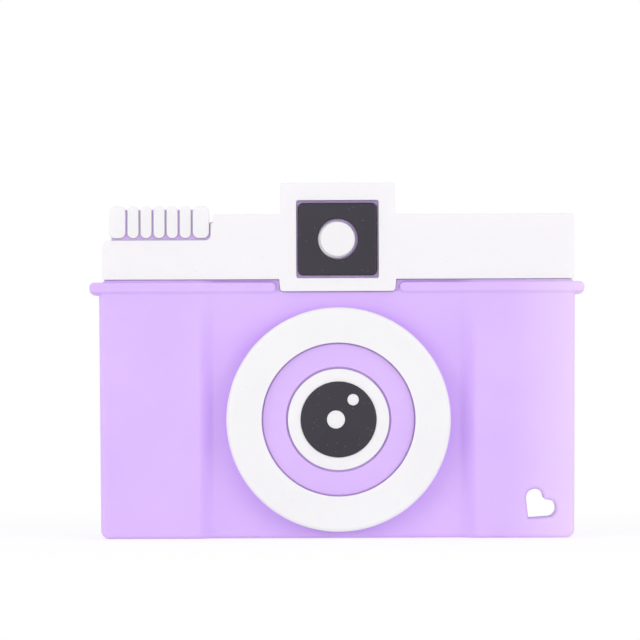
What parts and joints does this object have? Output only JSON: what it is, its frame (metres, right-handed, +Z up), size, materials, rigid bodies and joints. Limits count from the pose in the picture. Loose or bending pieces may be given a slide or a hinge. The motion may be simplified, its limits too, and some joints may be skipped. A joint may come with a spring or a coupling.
{
  "type": "silicone teether",
  "caption": "Camera-shaped silicone teether: lavender base with bonded white and dark inlays, raised lens rings, a ribbed winder to chew and a heart-shaped hole for a clip cord.",
  "frame": {"origin": "under the middle of the part: halfway across the rim, halfway between the flat back and the front of the lens ring, at the height of the foot", "axes": "+X to the right as the lens is looked at, +Y towards the flat back so that the lens faces -Y, +Z up from the foot to the viewfinder"},
  "size_m": [0.104, 0.0126, 0.0747],
  "materials": {
    "lavender_silicone": "satin",
    "white_silicone": "satin",
    "charcoal_silicone": "satin"
  },
  "bodies": {
    "root": {"body": "lavender_silicone", "top_plate": "white_silicone", "winder_rib_1": "white_silicone", "winder_rib_2": "white_silicone", "winder_rib_3": "white_silicone", "winder_rib_4": "white_silicone", "winder_rib_5": "white_silicone", "winder_rib_6": "white_silicone", "winder_rib_7": "white_silicone", "viewfinder_dot": "white_silicone", "lens_outer_ring": "white_silicone", "lens_inner_ring": "white_silicone", "lens_centre_dot": "white_silicone", "lens_glint_dot": "white_silicone", "viewfinder_panel": "charcoal_silicone", "lens_disc": "charcoal_silicone"}
  },
  "joints": []
}
